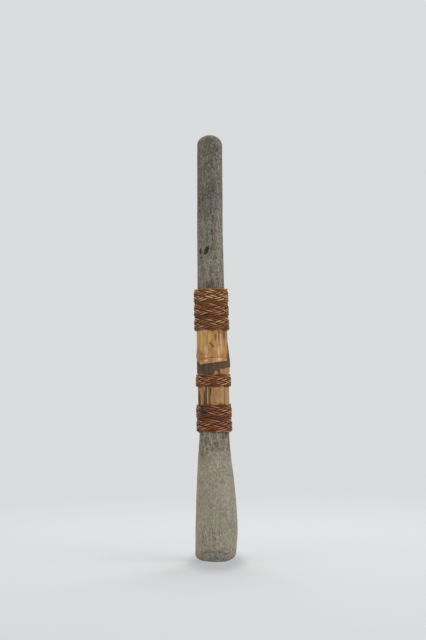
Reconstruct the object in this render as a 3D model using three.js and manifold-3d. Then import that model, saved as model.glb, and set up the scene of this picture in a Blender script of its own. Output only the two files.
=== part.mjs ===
// A stone pestle with a bound grip: a long dressed stone whose shaft carries a bark wrap, plates and strips
// of split bamboo, and six plaited rattan bands that hold them. Millimetres, +Z up the pestle, -Y the front.
import * as THREE from "three";
import { mergeVertices } from "three/addons/utils/BufferGeometryUtils.js";
import Module from "manifold-3d";

// Driving dimensions
const pestleLength = 449;
const fit = 0.2; // air between a layer of the grip and the one below it
const depthShare = 0.97; // the stone is a little flatter from front to back than from side to side

// Flat of the pounding face, the height of its worn round, and how square that round is: 2 would be an oval
const foot = { radius: 7.5, rise: 10.5, squareness: 2.75 };
const dome = { radius: 13.3, rise: 12.2 }; // the butt is half an oval
const neckTop = 140; // the head's flank ends here and the shaft's begins
const stoneSides = 36;

// Up the stone: height, half width, and how far the hand-dressed axis wanders to the side
const stations = [
  [0, 21.0, -1.1],
  [foot.rise, 21.5, -0.8],
  [30, 22.1, 0.2],
  [55, 21.35, 0.3],
  [80, 19.8, 0.1],
  [105, 17.7, -0.65],
  [130, 15.8, -0.5],
  [170, 15.3, -0.85],
  [195, 15.05, -0.9],
  [230, 14.65, -1.6],
  [290, 14.15, -2.25],
  [350, 13.65, -2.35],
  [400, 13.5, -1.75],
  [pestleLength - dome.rise, dome.radius, -1.4],
  [pestleLength, dome.radius, -1.2],
];

const wrap = { thickness: 0.55, top: 283, seam: 24, flareFrom: 228, columns: 56 };
const wrapLevels = [203, 206, 209, 212, 216, 222, 229, 237, 256, wrap.top]; // above its lower edge
// The wrap's torn side stands off the stone: how far, between which heights and angles
const wrapLift = { out: 1.15, from: 240, full: 222, starts: [84, 90], ends: [100, 112] };
// The wrap's lower edge, by angle from the front: whole on the left, torn away on the right
const wrapEdge = [
  [-180, 196],
  [0, 196],
  [6, 200],
  [12, 199.4],
  [18, 196.2],
  [24, 196.8],
  [30, 201.4],
  [90, 202.3],
  [106, 202.3],
  [116, 196.2],
  [180, 196],
];

const plate = { thickness: 0.85, top: 284.5, columns: 14, footRows: 4 };
const node = { height: 212.2, swell: 0.2, groove: 0.12, spread: 2 }; // the joint of the bamboo culm
const plateLevels = [210.2, 211.3, node.height, 213.1, 214.2, 216, 220, 228, 240, 262, plate.top];
// Each plate's long edges: angle, angle at the foot, height from which it draws in, and height of the foot
const frontPlate = { left: [-84, -46, 213, 204.7], right: [84, 57, 233, 209] };
const backPlate = { left: [112, 118, 226, 208], right: [250, 246, 226, 206.5] };
const split = { angle: 23.3, bottom: 223.5, width: 0.8, depth: 12 };

const strip = { thickness: 1.1, thinEnd: 0.8, bottom: 136, taperFrom: 165 };
const stripBend = { out: 1.1, from: 195, full: 197.5 }; // strips' ends bend out under the wrap's torn side
// Angles that each strip spans, and the height of its upper end
const strips = {
  a: [-60, -37.5, 203],
  b: [-26, -14.5, 198],
  c: [-10, 43, 203],
  d: [45.5, 98, 203.6],
  e: [104, 150, 202],
  f: [156, 206, 203],
  g: [212, 289, 202.4],
};

const plait = {
  leads: 5, // strands side by side across the band
  bights: 6, // turning points round each rim
  width: 3.15,
  thickness: 0.6,
  clearance: 0.8, // between the strands of a crossing
  crown: 0.8, // share of the width that the outer face keeps between its worn edges
  bend: 0.22, // half the rounded bend at a turning point, as a share of the spacing of the crossings
  endGap: 0.1, // half the gap between the strand's two ends, as the same share
  seat: 0.35, // air below the plaiting
};
// Each group of bands: its lowest point, the height of a band from turning points to turning points, and the
// pitch at which the turning points of one band sit in the hollows of the next
const upperBands = { bottom: 239.7, rise: 13.3, pitch: 14.65 };
const middleBand = { bottom: 180.7, rise: 11.6 };
const lowerBands = { bottom: 133.3, rise: 13.2, pitch: 14.3 };

const rad = THREE.MathUtils.degToRad;
const { lerp, clamp, smoothstep } = THREE.MathUtils;

// The stone's skin, and points outside it
const heights = stations.map(([height]) => height);
const values = stations.flatMap(([, halfWidth, shift]) => [halfWidth, shift]);
const skin = new THREE.CubicInterpolant(heights, values, 2);

function stoneAt(height) {
  const [halfWidth, shift] = skin.evaluate(clamp(height, 0, pestleLength));
  return { halfWidth, shift };
}

// The point that lies `out` outside the stone at a height, at an angle counted from the front towards +X
function outside(height, angle, out) {
  const { halfWidth, shift } = stoneAt(height);
  const x = shift + (halfWidth + out) * Math.sin(angle);
  const y = -(halfWidth * depthShare + out) * Math.cos(angle);
  return new THREE.Vector3(x, y, height);
}

// A value read off a list of [place, value] points joined by straight lines
function along(points, place) {
  const next = points.findIndex(([at]) => at >= place);
  if (next <= 0) return points[0][1];
  const [from, a] = points[next - 1];
  const [to, b] = points[next];
  return lerp(a, b, (place - from) / (to - from));
}

function steps(from, to, count) {
  return Array.from({ length: count + 1 }, (_, i) => lerp(from, to, i / count));
}

function geometryOf(points, index) {
  const geometry = new THREE.BufferGeometry().setFromPoints(points);
  geometry.setIndex(index);
  return geometry;
}

// The stone: a flat foot, a worn round, the hand-dressed flank and the domed butt, turned and then bent
function stoneGeometry() {
  const power = 2 / foot.squareness;
  const footRound = steps(Math.PI / 2, 0, 8).map((a) => [
    foot.radius + (stoneAt(foot.rise).halfWidth - foot.radius) * Math.cos(a) ** power,
    foot.rise * (1 - Math.sin(a) ** power),
  ]);
  const shoulder = pestleLength - dome.rise;
  const flank = [...steps(foot.rise, neckTop, 13).slice(1), ...steps(neckTop, shoulder, 14).slice(1)];
  const butt = steps(0, Math.PI / 2, 6).slice(1);
  const profile = [
    [0, 0],
    ...footRound,
    ...flank.map((height) => [stoneAt(height).halfWidth, height]),
    ...butt.map((a) => [dome.radius * Math.cos(a), shoulder + dome.rise * Math.sin(a)]),
  ];
  profile.at(-1)[0] = 0;
  const outline = profile.map(([radius, height]) => new THREE.Vector2(radius, height));
  const geometry = new THREE.LatheGeometry(outline, stoneSides).rotateX(Math.PI / 2);
  const position = geometry.getAttribute("position");
  for (let i = 0; i < position.count; i++) {
    const { shift } = stoneAt(position.getZ(i));
    position.setXYZ(i, position.getX(i) + shift, position.getY(i) * depthShare, position.getZ(i));
  }
  return geometry;
}

// A closed curved sheet from a grid: pointAt(column, row, face) gives its inner face at 0 and its outer at 1
function sheetGeometry(columns, rows, pointAt) {
  const points = [];
  for (const face of [0, 1]) {
    for (let row = 0; row <= rows; row++) {
      for (let column = 0; column <= columns; column++) points.push(pointAt(column, row, face));
    }
  }
  const faceSize = (columns + 1) * (rows + 1);
  const at = (column, row, face) => face * faceSize + row * (columns + 1) + column;
  const index = [];
  for (let row = 0; row < rows; row++) {
    for (let column = 0; column < columns; column++) {
      const corners = (face) => [
        at(column, row, face),
        at(column + 1, row, face),
        at(column + 1, row + 1, face),
        at(column, row + 1, face),
      ];
      const [a, b, c, d] = corners(1);
      index.push(a, b, c, a, c, d);
      const [e, f, g, h] = corners(0);
      index.push(e, g, f, e, h, g);
    }
  }
  const rim = [];
  for (let i = 0; i < columns; i++) rim.push([i, 0]);
  for (let i = 0; i < rows; i++) rim.push([columns, i]);
  for (let i = columns; i > 0; i--) rim.push([i, rows]);
  for (let i = rows; i > 0; i--) rim.push([0, i]);
  rim.forEach(([column, row], i) => {
    const [nextColumn, nextRow] = rim[(i + 1) % rim.length];
    const inner = at(column, row, 0);
    const innerNext = at(nextColumn, nextRow, 0);
    const outer = at(column, row, 1);
    const outerNext = at(nextColumn, nextRow, 1);
    index.push(inner, innerNext, outerNext, inner, outerNext, outer);
  });
  return geometryOf(points, index);
}

// How far outside the stone the layers lie
const stripsOut = fit + strip.thickness;
const stripsReach = Math.max(...Object.values(strips).map(([, , top]) => top));

function tornAt(degrees) {
  return smoothstep(degrees, ...wrapLift.starts) - smoothstep(degrees, ...wrapLift.ends);
}

// The wrap hugs the stone, widens over the strips' upper ends and lifts off along its torn edge
function wrapSeat(height, degrees) {
  const flare = smoothstep(wrap.flareFrom - height, 0, wrap.flareFrom - stripsReach - 1);
  const down = smoothstep(wrapLift.from - height, 0, wrapLift.from - wrapLift.full);
  return fit + flare * stripsOut + wrapLift.out * tornAt(degrees) * down;
}

function wrapGeometry() {
  const reach = 180 - wrap.seam / 2;
  const angles = steps(-reach, reach, wrap.columns);
  return sheetGeometry(wrap.columns, wrapLevels.length, (column, row, face) => {
    const degrees = angles[column];
    const height = row ? wrapLevels[row - 1] : along(wrapEdge, degrees);
    return outside(height, rad(degrees), wrapSeat(height, degrees) + face * wrap.thickness);
  });
}

// The culm's joint: a groove between two low ridges
function nodeSwell(height) {
  const away = Math.abs(height - node.height) / node.spread;
  return away > 1.5 ? 0 : Math.max(-Math.cos(away * Math.PI) * node.swell, -node.groove);
}

// A plate of bamboo: a slice of the culm, with one joint across it and edges that draw in towards its foot
function plateGeometry({ left, right }) {
  const edgeAt = ([angle, footAngle, from, end], height) =>
    lerp(angle, footAngle, clamp((from - height) / (from - end), 0, 1));
  const rows = plate.footRows + plateLevels.length - 1;
  return sheetGeometry(plate.columns, rows, (column, row, face) => {
    const share = column / plate.columns;
    const end = lerp(left.at(-1), right.at(-1), share);
    const level = plateLevels[Math.max(row - plate.footRows, 0)];
    const height = lerp(end, level, Math.min(row / plate.footRows, 1));
    const degrees = lerp(edgeAt(left, height), edgeAt(right, height), share);
    const seat = wrapSeat(height, 0) + wrap.thickness + fit;
    return outside(height, rad(degrees), seat + face * (plate.thickness + nodeSwell(height)));
  });
}

function stripThickness(height) {
  const share = clamp((strip.taperFrom - height) / (strip.taperFrom - strip.bottom), 0, 1);
  return lerp(strip.thickness, strip.thinEnd, share);
}

function stripGeometry([left, right, top]) {
  const columns = Math.max(2, Math.round((right - left) / 8));
  const lower = steps(strip.bottom, strip.taperFrom, 3);
  const upper = steps(strip.taperFrom, stripBend.from, 3).slice(1);
  const levels = [...lower, ...upper, stripBend.full].filter((height) => height < top).concat(top);
  return sheetGeometry(columns, levels.length - 1, (column, row, face) => {
    const degrees = lerp(left, right, column / columns);
    const height = levels[row];
    const bend = stripBend.out * tornAt(degrees) * smoothstep(height, stripBend.from, stripBend.full);
    return outside(height, rad(degrees), fit + bend + face * stripThickness(height));
  });
}

// A plaited band: one strand of split rattan led round the grip as a Turk's head. It runs from rim to rim
// and back, passes over and under the strands that it meets, and its ends meet below a crossing at the back.
function plaitedBand(bottom, rise, seatAt) {
  const { leads, bights, width, thickness, bend } = plait;
  const radius = stoneAt(bottom).halfWidth + seatAt(bottom) + thickness;
  const sweep = (Math.PI * leads) / bights; // angle of one run from rim to rim
  const slope = Math.atan(rise / (radius * sweep));
  const margin = width / Math.cos(slope) / 2;
  const half = (thickness + plait.clearance) / 2;
  const spacing = (radius * sweep) / Math.cos(slope) / leads; // from crossing to crossing along the strand
  const crossing = width / 2 / Math.sin(2 * slope) / spacing; // half a crossing, as a share of the spacing
  const firstCrossing = 2;
  const start = Math.PI - (sweep * firstCrossing) / leads;
  const section = [
    [-width / 2, -thickness / 2],
    [width / 2, -thickness / 2],
    [(width / 2) * plait.crown, thickness / 2],
    [(-width / 2) * plait.crown, thickness / 2],
  ];

  // Each stop is a cut through the strand: the run it is on, its place there in crossings, and how far it
  // stands over or under. At a crossing the cut lies along the strand that is met, at a rim it is upright.
  const stops = [];
  const pass = (k) => (k % 2 ? half : -half);
  const addCrossing = (run, k) => {
    for (const step of [-crossing, 0, crossing]) stops.push({ run, place: k + step, over: pass(k) });
  };
  const addBend = (run) => {
    stops.push({ run: run - 1, place: leads - bend, over: 0, upright: true });
    stops.push({ run, place: 0, over: 0, upright: true });
    stops.push({ run, place: bend, over: 0, upright: true });
  };
  stops.push({ run: 0, place: firstCrossing + plait.endGap, over: pass(firstCrossing) });
  stops.push({ run: 0, place: firstCrossing + crossing, over: pass(firstCrossing) });
  for (let k = firstCrossing + 1; k < leads; k++) addCrossing(0, k);
  for (let run = 1; run < 2 * bights; run++) {
    addBend(run);
    for (let k = 1; k < leads; k++) addCrossing(run, k);
  }
  const last = 2 * bights;
  addBend(last);
  for (let k = 1; k < firstCrossing; k++) addCrossing(last, k);
  stops.push({ run: last, place: firstCrossing - crossing, over: pass(firstCrossing) });
  stops.push({ run: last, place: firstCrossing - plait.endGap, over: pass(firstCrossing) });

  const rings = stops.map(({ run, place, over, upright }) => {
    const rising = run % 2 === 0;
    const angle = start + sweep * (run + place / leads);
    const climbed = (place === 0 ? bend / 2 : place) / leads; // the bend is cut a little short of its corner
    const height = bottom + margin + rise * (rising ? climbed : 1 - climbed);
    return section.map(([across, out]) => {
      const slant = rising ? -1 : 1;
      const turn = upright ? 0 : (slant * across) / (2 * Math.sin(slope)) / radius;
      const level = height + across / (upright ? 1 : 2) / Math.cos(slope);
      return outside(level, angle + turn, seatAt(level) + thickness / 2 + half + over + out);
    });
  });

  const sides = section.length;
  const index = [];
  const at = (ring, side) => ring * sides + (side % sides);
  for (let ring = 0; ring + 1 < rings.length; ring++) {
    const rising = stops[ring].run % 2 === 0;
    for (let side = 0; side < sides; side++) {
      const [a, b] = [at(ring, side), at(ring, side + 1)];
      const [c, d] = [at(ring + 1, side + 1), at(ring + 1, side)];
      // The quad is folded along its steeper diagonal, so that the strand follows the round of the grip
      const widens = section[(side + 1) % sides][0] > section[side][0];
      if (widens === rising) index.push(a, b, c, a, c, d);
      else index.push(a, b, d, b, c, d);
    }
  }
  for (let side = 1; side + 1 < sides; side++) {
    index.push(at(0, 0), at(0, side + 1), at(0, side));
    index.push(at(rings.length - 1, 0), at(rings.length - 1, side), at(rings.length - 1, side + 1));
  }
  return { geometry: geometryOf(rings.flat(), index), rings, index, sides };
}

// The least gap of a strand to itself, from its corners and its long edges' middles to faces further along it
function leastGap({ rings, index, sides }) {
  const corners = rings.flat();
  const near = 5; // rings that count as the same stretch of strand
  const far = 20; // faces further off than this aren't measured
  const faces = [];
  for (let i = 0; i < index.length; i += 3) {
    const [a, b, c] = index.slice(i, i + 3);
    const rows = [a, b, c].map((corner) => Math.floor(corner / sides));
    faces.push({ row: Math.min(...rows), face: new THREE.Triangle(corners[a], corners[b], corners[c]) });
  }
  const probes = rings.flatMap((ring, row) =>
    ring.flatMap((corner, side) => {
      const ahead = rings[row + 1];
      const probe = [{ row, point: corner }];
      if (ahead) probe.push({ row, point: corner.clone().lerp(ahead[side], 0.5) });
      return probe;
    }),
  );
  const closest = new THREE.Vector3();
  let least = Infinity;
  for (const { row, point } of probes) {
    for (const { row: faceRow, face } of faces) {
      const apart = Math.abs(faceRow - row);
      if (apart < near) continue;
      if (point.distanceTo(face.a) > far) continue;
      face.closestPointToPoint(point, closest);
      least = Math.min(least, point.distanceTo(closest));
    }
  }
  return least;
}

// The split that runs down the front plate: a thin wedge taken out of the bamboo
const wasm = await Module();
wasm.setup();

function solidOf(geometry) {
  const bare = geometry.clone();
  bare.deleteAttribute("normal");
  bare.deleteAttribute("uv");
  const merged = mergeVertices(bare);
  const vertProperties = merged.getAttribute("position").array;
  const triVerts = new Uint32Array(merged.index.array);
  return new wasm.Manifold(new wasm.Mesh({ numProp: 3, vertProperties, triVerts }));
}

function cut(geometry, tool) {
  const { vertProperties, triVerts } = solidOf(geometry).subtract(solidOf(tool)).getMesh();
  const made = new THREE.BufferGeometry();
  made.setAttribute("position", new THREE.BufferAttribute(vertProperties, 3));
  return made.setIndex(new THREE.BufferAttribute(triVerts, 1));
}

function splitWedge() {
  const above = plate.top + 2;
  const wedge = new THREE.Shape();
  wedge.moveTo(0, split.bottom);
  wedge.lineTo(split.width / 2, above);
  wedge.lineTo(-split.width / 2, above);
  wedge.closePath();
  const { halfWidth, shift } = stoneAt(split.bottom);
  const slab = new THREE.ExtrudeGeometry(wedge, { depth: split.depth, bevelEnabled: false });
  slab.rotateX(Math.PI / 2);
  slab.translate(0, split.depth / 2 - halfWidth, 0);
  slab.rotateZ(rad(split.angle));
  return slab.translate(shift, 0, 0);
}

// Materials and the scene graph
const stoneFinish = { color: 0x6f695d, roughness: 0.85 };
const barkFinish = { color: 0x4c4034, roughness: 0.9 };
const bambooFinish = { color: 0xa67c50, roughness: 0.45 };
const rattanFinish = { color: 0x6e4a33, roughness: 0.5 };

function piece(name, geometry, finish) {
  const mesh = new THREE.Mesh(geometry, new THREE.MeshStandardMaterial({ ...finish, metalness: 0 }));
  mesh.geometry.computeVertexNormals();
  mesh.name = name;
  return mesh;
}

const pestle = new THREE.Group();
pestle.add(piece("stone_body", stoneGeometry(), stoneFinish));

const grip = new THREE.Group();
pestle.add(grip);
grip.add(piece("bark_wrap", wrapGeometry(), barkFinish));
grip.add(piece("bamboo_plate_front", cut(plateGeometry(frontPlate), splitWedge()), bambooFinish));
grip.add(piece("bamboo_plate_back", plateGeometry(backPlate), bambooFinish));
for (const [letter, shape] of Object.entries(strips)) {
  grip.add(piece(`bamboo_strip_${letter}`, stripGeometry(shape), bambooFinish));
}

const plateSeat = () => fit + wrap.thickness + fit + plate.thickness + plait.seat;
const stripSeat = (height) => fit + stripThickness(height) + plait.seat;
const bands = {
  upper_band_1: [upperBands.bottom + 2 * upperBands.pitch, upperBands.rise, plateSeat],
  upper_band_2: [upperBands.bottom + upperBands.pitch, upperBands.rise, plateSeat],
  upper_band_3: [upperBands.bottom, upperBands.rise, plateSeat],
  middle_band: [middleBand.bottom, middleBand.rise, stripSeat],
  lower_band_1: [lowerBands.bottom + lowerBands.pitch, lowerBands.rise, stripSeat],
  lower_band_2: [lowerBands.bottom, lowerBands.rise, stripSeat],
};
for (const [name, [bottom, rise, seatAt]] of Object.entries(bands)) {
  const band = plaitedBand(bottom, rise, seatAt);
  console.log(`${name}: least gap of the strand to itself ${leastGap(band).toFixed(2)} mm`);
  grip.add(piece(name, band.geometry, rattanFinish));
}

export default pestle;
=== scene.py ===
import itertools
import math

import bpy
import numpy as np
from mathutils import Matrix, Vector


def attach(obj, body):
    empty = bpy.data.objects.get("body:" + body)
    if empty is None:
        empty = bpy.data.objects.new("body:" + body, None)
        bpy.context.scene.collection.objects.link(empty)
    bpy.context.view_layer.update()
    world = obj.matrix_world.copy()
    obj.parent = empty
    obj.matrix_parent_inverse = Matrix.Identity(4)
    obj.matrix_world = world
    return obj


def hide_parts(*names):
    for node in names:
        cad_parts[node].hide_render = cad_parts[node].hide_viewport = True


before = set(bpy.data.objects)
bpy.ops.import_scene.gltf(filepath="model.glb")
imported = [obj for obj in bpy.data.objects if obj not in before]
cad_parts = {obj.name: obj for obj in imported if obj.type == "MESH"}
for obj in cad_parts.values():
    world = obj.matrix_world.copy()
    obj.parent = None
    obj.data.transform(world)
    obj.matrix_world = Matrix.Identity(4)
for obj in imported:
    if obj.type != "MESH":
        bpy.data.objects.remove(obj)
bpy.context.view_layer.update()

print("frame loaded with", len(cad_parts), "nodes")

# Shapes are worked out in millimetres: heights up the pestle, and angles in degrees from the front towards +X
mm = 0.001
# factors and mask that turn a lattice cell's place into a random number
scramble = {"axes": (374761393, 668265263, 1103515245), "seed": 144665, "again": 1274126177, "mask": 0xFFFFFF}


def ease(x, start, end):
    # 0 before start, 1 after end and a smooth cubic between; end may lie below start
    t = np.clip((x - start) / (end - start), 0, 1)
    return t * t * (3 - 2 * t)


def bell(x, centre, width):
    # a bump of height 1 that has fallen to about a third one width away
    return np.exp(-(((x - centre) / width) ** 2))


def gridOf(x, y=0, z=0):
    # points from three coordinates, each a number or an array
    return np.stack(np.broadcast_arrays(x, y, z), axis=-1)


def scattered(cell, seed):
    # a steady random number from 0 to 1 for each cell of a lattice
    n = (cell * np.array(scramble["axes"])).sum(axis=-1) + seed * scramble["seed"]
    n = (n ^ (n >> 13)) * scramble["again"]
    n = n ^ (n >> 16)
    return (n & scramble["mask"]) / scramble["mask"]


def grain(points, size, seed):
    # lattice noise from -1 to 1: random corners of cells of that size, blended by a cubic in each direction
    scaled = points / size
    base = np.floor(scaled).astype(np.int64)
    part = scaled - base
    part = part * part * (3 - 2 * part)
    total = 0
    for corner in itertools.product((0, 1), repeat=3):
        weight = np.prod(np.where(np.array(corner), part, 1 - part), axis=-1)
        total = total + weight * scattered(base + np.array(corner), seed)
    return total * 2 - 1


def layers(points, size, seed, count=3):
    # noise of that size with more on it, each layer half as large and half as strong as the one before
    shares = [0.5**i for i in range(count)]
    noises = [share * grain(points, size * share, seed + i) for i, share in enumerate(shares)]
    return sum(noises) / sum(shares)


def pecks(points, size, seed):
    # distance to the nearest of one random point in each cell, in cells
    scaled = points / size
    base = np.floor(scaled).astype(np.int64)
    nearest = np.inf
    for offset in itertools.product((-1, 0, 1), repeat=3):
        cell = base + np.array(offset)
        point = cell + np.stack([scattered(cell, seed + k) for k in range(3)], axis=-1)
        nearest = np.minimum(nearest, np.linalg.norm(scaled - point, axis=-1))
    return nearest


# how soft and how frayed every painted mark is, as shares of its half sizes
oval = {"softness": (1.35, 0.35), "frayAcross": 0.3, "frayAlong": 0.4}


def marks(ovals, height, degrees, radius, fray):
    # the strongest of some soft ovals, with their outlines frayed by a noise
    total = np.zeros(np.broadcast(height, degrees).shape)
    for z, turn, tall, wide, strength in ovals:
        off = (degrees - turn + 180) % 360 - 180
        across = radius * np.radians(off) / wide + oval["frayAcross"] * fray
        along = (height - z) / tall + oval["frayAlong"] * fray
        total = np.maximum(total, strength * ease(np.hypot(across, along), *oval["softness"]))
    return total


def markFields(shape, kinds, *places):
    # one field for each kind of mark that a piece's dictionary lists
    return {kind: marks(shape[kind], *places) for kind in kinds}


def alongLine(height, degrees, radius, start, end):
    # how far down and aside of a line on the flank each point lies, and the line's length
    runX, runZ = radius * math.radians(end[1] - start[1]), end[0] - start[0]
    fromX, fromZ = radius * np.radians(degrees - start[1]), height - start[0]
    length = np.hypot(runX, runZ)
    return (fromX * runX + fromZ * runZ) / length, (fromX * runZ - fromZ * runX) / length, length


# Pieces

def putPiece(name, points, faces, nodeName, finish, fields, sharp=None):
    mesh = bpy.data.meshes.new(name)
    mesh.from_pydata((points.reshape(-1, 3) * mm).tolist(), [], faces)
    mesh.polygons.foreach_set("use_smooth", np.ones(len(mesh.polygons), bool))
    for field, values in fields.items():
        layer = mesh.attributes.new(field, "FLOAT", "POINT")
        layer.data.foreach_set("value", np.ascontiguousarray(values, np.float32).ravel())
    mesh.update()
    if sharp:
        mesh.set_sharp_from_angle(angle=math.radians(sharp))
    mesh.materials.append(finish)
    piece = bpy.data.objects.new(name, mesh)
    bpy.context.scene.collection.objects.link(piece)
    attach(piece, "root")
    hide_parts(nodeName)
    print(name, "has", len(mesh.polygons), "faces")


def ringFaces(rows, columns):
    # quads between neighbouring rings of a closed tube, facing out when the rings climb and turn to the left
    row, column = np.meshgrid(np.arange(rows - 1), np.arange(columns), indexing="ij")
    here = row * columns + column
    aside = row * columns + (column + 1) % columns
    return np.stack([here, aside, aside + columns, here + columns], axis=-1).reshape(-1, 4)


def putSheet(name, outer, inner, nodeName, finish, fields, sharp, keep=None):
    # two grids joined along every border of the kept cells: outer face, inner face turned round, and walls
    rows, columns = outer.shape[:2]
    if keep is None:
        keep = np.ones((rows - 1, columns - 1), bool)
    index = np.arange(rows * columns).reshape(rows, columns)
    below = rows * columns
    a, b = index[:-1, :-1], index[:-1, 1:]
    c, d = index[1:, 1:], index[1:, :-1]
    faces = [
        np.stack([a, b, c, d], axis=-1)[keep],
        np.stack([a + below, d + below, c + below, b + below], axis=-1)[keep],
    ]
    padded = np.pad(keep, 1)
    for shift, p, q in (((0, 1), a, b), ((2, 1), c, d), ((1, 0), d, a), ((1, 2), b, c)):
        beside = padded[shift[0]:shift[0] + rows - 1, shift[1]:shift[1] + columns - 1]
        edge = keep & ~beside
        faces.append(np.stack([p, p + below, q + below, q], axis=-1)[edge])
    faces = np.concatenate(faces)
    used, renamed = np.unique(faces, return_inverse=True)
    points = np.concatenate([outer.reshape(-1, 3), inner.reshape(-1, 3)])[used]
    doubled = {}
    for kind, field in fields.items():
        doubled[kind] = np.tile(np.broadcast_to(field, (rows, columns)).ravel(), 2)[used]
    putPiece(name, points, renamed.reshape(faces.shape).tolist(), nodeName, finish, doubled, sharp)


# The stone's skin, with the sizes that its solid has
skin = {
    "length": 449.0,
    "depthShare": 0.97,
    "footRadius": 7.5,
    "footHole": 0.6,  # radius of the first ring, which a pole closes
    "footRise": 10.5,
    "footSquareness": 2.75,
    "domeRadius": 13.3,
    "domeRise": 12.2,
    "domeHole": 0.04,  # angle of the last ring from the top
    # height, half width, sideways wander
    "stations": [
        [0, 21, -1.1], [10.5, 21.5, -0.8], [30, 22.1, 0.2], [55, 21.35, 0.3], [80, 19.8, 0.1],
        [105, 17.7, -0.65], [130, 15.8, -0.5], [170, 15.3, -0.85], [195, 15.05, -0.9], [230, 14.65, -1.6],
        [290, 14.15, -2.25], [350, 13.65, -2.35], [400, 13.5, -1.75], [436.8, 13.3, -1.4],
        [449, 13.3, -1.2],
    ],
}
stationTable = np.array(skin["stations"], float)


def skinAt(height):
    # cubic pieces through the stations, each leaving with the mean of the slopes on its two sides
    at, values = stationTable[:, 0], stationTable[:, 1:]
    slopes = np.diff(values, axis=0) / np.diff(at)[:, None]
    tangents = np.vstack([slopes[:1], (slopes[1:] + slopes[:-1]) / 2, slopes[-1:]])
    height = np.clip(height, at[0], at[-1])
    i = np.clip(np.searchsorted(at, height, side="right") - 1, 0, len(at) - 2)
    step = (at[i + 1] - at[i])[..., None]
    t = (height - at[i])[..., None] / step
    curve = (1 + 2 * t) * (1 - t) ** 2 * values[i] + t * (1 - t) ** 2 * step * tangents[i]
    curve = curve + t * t * (3 - 2 * t) * values[i + 1] + t * t * (t - 1) * step * tangents[i + 1]
    return curve[..., 0], curve[..., 1]


def outside(height, degrees, out):
    # the point that lies `out` off the stone's flank at a height and an angle
    halfWidth, shift = skinAt(height)
    turn = np.radians(degrees)
    x = shift + (halfWidth + out) * np.sin(turn)
    y = -(halfWidth * skin["depthShare"] + out) * np.cos(turn)
    return gridOf(x, y, height)


# Finishes

class Shade:
    # a shader socket that sums and products can be written with
    def __init__(self, tree, link=None):
        self.tree = tree
        self.link = link

    def node(self, kind, settings, sockets, output=0):
        made = self.tree.nodes.new(kind)
        for key, setting in settings.items():
            setattr(made, key, setting)
        for key, given in sockets.items():
            if isinstance(given, Shade):
                self.tree.links.new(given.link, made.inputs[key])
            else:
                made.inputs[key].default_value = given
        return Shade(self.tree, made.outputs[output] if made.outputs else None)

    def sum(self, operation, a, b):
        return self.node("ShaderNodeMath", {"operation": operation}, {0: a, 1: b})

    def __add__(self, other):
        return self.sum("ADD", self, other)

    def __radd__(self, other):
        return self.sum("ADD", other, self)

    def __sub__(self, other):
        return self.sum("SUBTRACT", self, other)

    def __rsub__(self, other):
        return self.sum("SUBTRACT", other, self)

    def __mul__(self, other):
        return self.sum("MULTIPLY", self, other)

    def __rmul__(self, other):
        return self.sum("MULTIPLY", other, self)

    def noise(self, where, size, detail=3.0, rough=0.55, finer=2.2):
        # size in millimetres; each octave is that many times finer than the last
        sockets = {"Vector": where, "Scale": 1 / (size * mm), "Detail": detail, "Roughness": rough}
        return self.node("ShaderNodeTexNoise", {}, {**sockets, "Lacunarity": finer})

    def stretched(self, where, scale):
        # a pattern's coordinates times a scale for each axis; below 1 draws the pattern out
        return self.node("ShaderNodeVectorMath", {"operation": "MULTIPLY"}, {0: where, 1: scale})

    def distance(self, where):
        return self.node("ShaderNodeVectorMath", {"operation": "LENGTH"}, {0: where}, "Value")

    def span(self, value, low, high):
        settings = {"interpolation_type": "SMOOTHSTEP"}
        return self.node("ShaderNodeMapRange", settings, {0: value, 1: low, 2: high})

    def mix(self, factor, a, b, how="MIX"):
        settings = {"data_type": "RGBA", "blend_type": how}
        colours = [c if isinstance(c, Shade) else (*c, 1) for c in (a, b)]
        return self.node("ShaderNodeMix", settings, {0: factor, 6: colours[0], 7: colours[1]}, 2)

    def times(self, tone, factor):
        return self.mix(1.0, tone, factor, "MULTIPLY")

    def grey(self, value):
        return self.node("ShaderNodeCombineColor", {}, {0: value, 1: value, 2: value})

    def field(self, name):
        return self.node("ShaderNodeAttribute", {"attribute_name": name}, {}, "Fac")

    def bump(self, height, distance, strength=1.0):
        sockets = {"Strength": strength, "Distance": distance * mm, "Height": height}
        return self.node("ShaderNodeBump", {}, sockets)


def newFinish(name):
    # an empty material, its shader writer, object coordinates and height
    finish = bpy.data.materials.new(name)
    finish.use_nodes = True
    finish.node_tree.nodes.clear()
    shade = Shade(finish.node_tree)
    where = shade.node("ShaderNodeTexCoord", {}, {}, "Object")
    height = shade.node("ShaderNodeSeparateXYZ", {}, {0: where}, 2)
    return finish, shade, where, height


def closeFinish(shade, sockets):
    surface = shade.node("ShaderNodeBsdfPrincipled", {}, sockets)
    shade.node("ShaderNodeOutputMaterial", {}, {"Surface": surface})


noiseMean = 0.5  # of the noise texture


def within(amounts, mask):
    # one amount everywhere and another added where the mask is
    return amounts[0] + amounts[1] * mask


def blend(shares, a, b):
    return a * shares[0] + b * shares[1]


def dress(shade, look, tone, wear, relief):
    # a rough or glossy skin whose roughness follows one pattern and whose bumps follow another
    closeFinish(shade, {
        "Base Color": tone,
        "Roughness": within(look["roughness"], wear),
        "Specular IOR Level": look["specular"],
        "Normal": shade.bump(relief, *look["bump"]),
    })


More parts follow.
